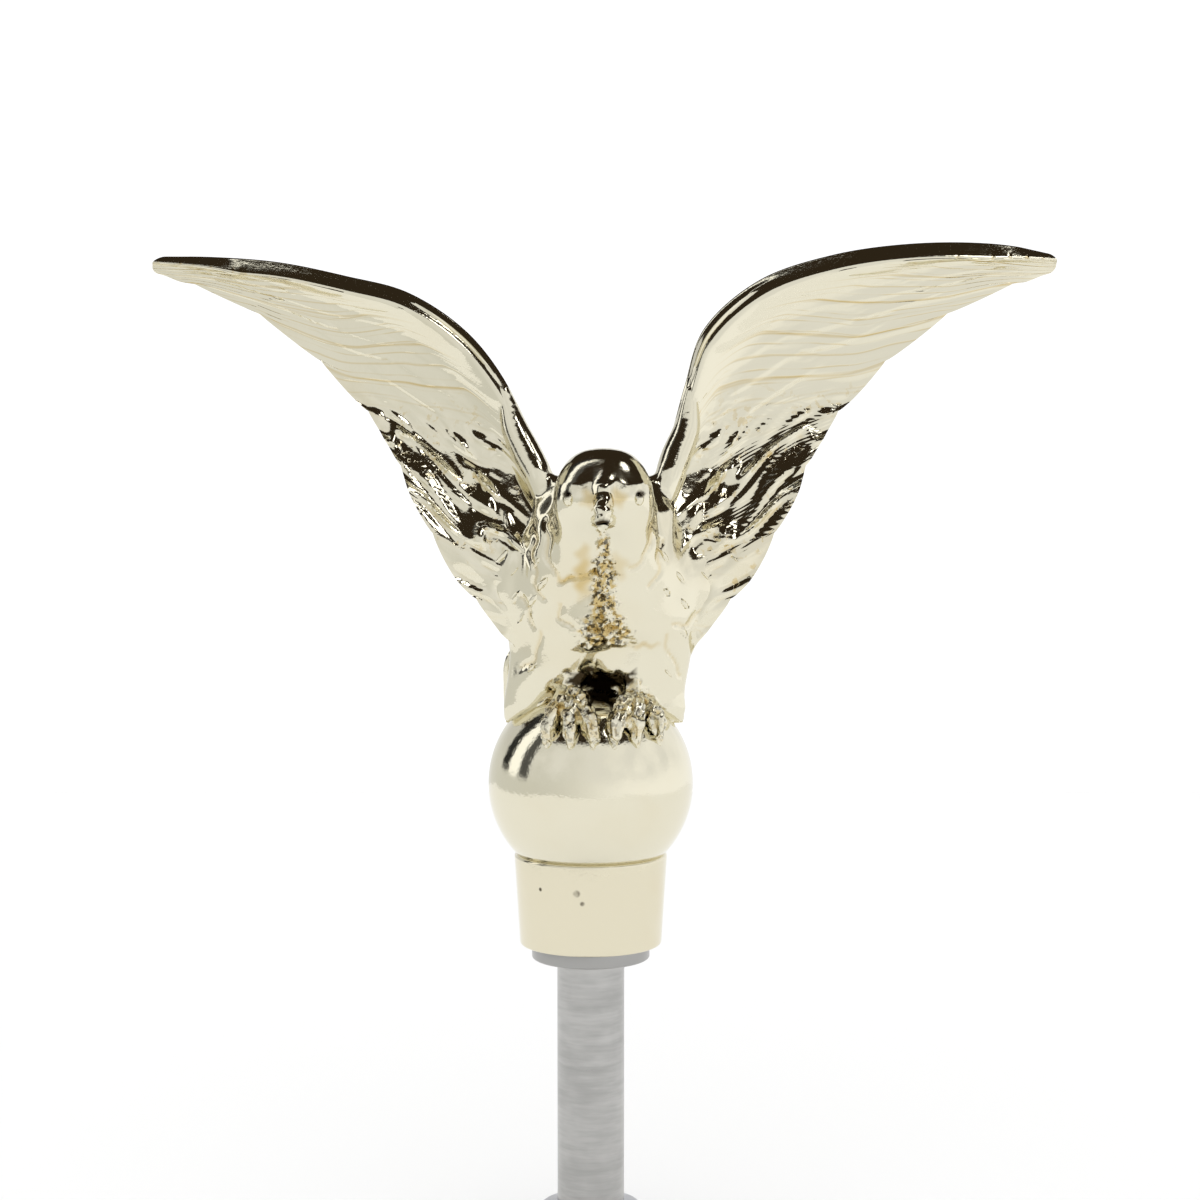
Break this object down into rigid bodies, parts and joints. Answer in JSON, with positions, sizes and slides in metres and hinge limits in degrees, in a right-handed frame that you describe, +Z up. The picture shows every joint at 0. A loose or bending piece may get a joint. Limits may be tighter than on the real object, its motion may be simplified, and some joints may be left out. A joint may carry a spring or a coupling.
{
  "type": "eagle finial",
  "caption": "Gilt eagle with raised wings perched on a ball and tapered ferrule, on a turned spindle with a foot collar, for the top of a pole.",
  "frame": {"origin": "centre of the foot collar's flat underside, where a pole's top would carry it", "axes": "+Z up along the spindle, the bird faces -Y, its wings spread along X"},
  "size_m": [0.1726, 0.0475, 0.1896],
  "materials": {
    "gilt_casting": "mirror-bright pale gold plating over a casting",
    "turned_aluminium": "satin, drawn lengthwise",
    "pale_aluminium": "satin, turned"
  },
  "bodies": {
    "root": {"eagle": "gilt_casting", "spindle": "turned_aluminium", "foot_collar": "pale_aluminium"}
  },
  "joints": []
}
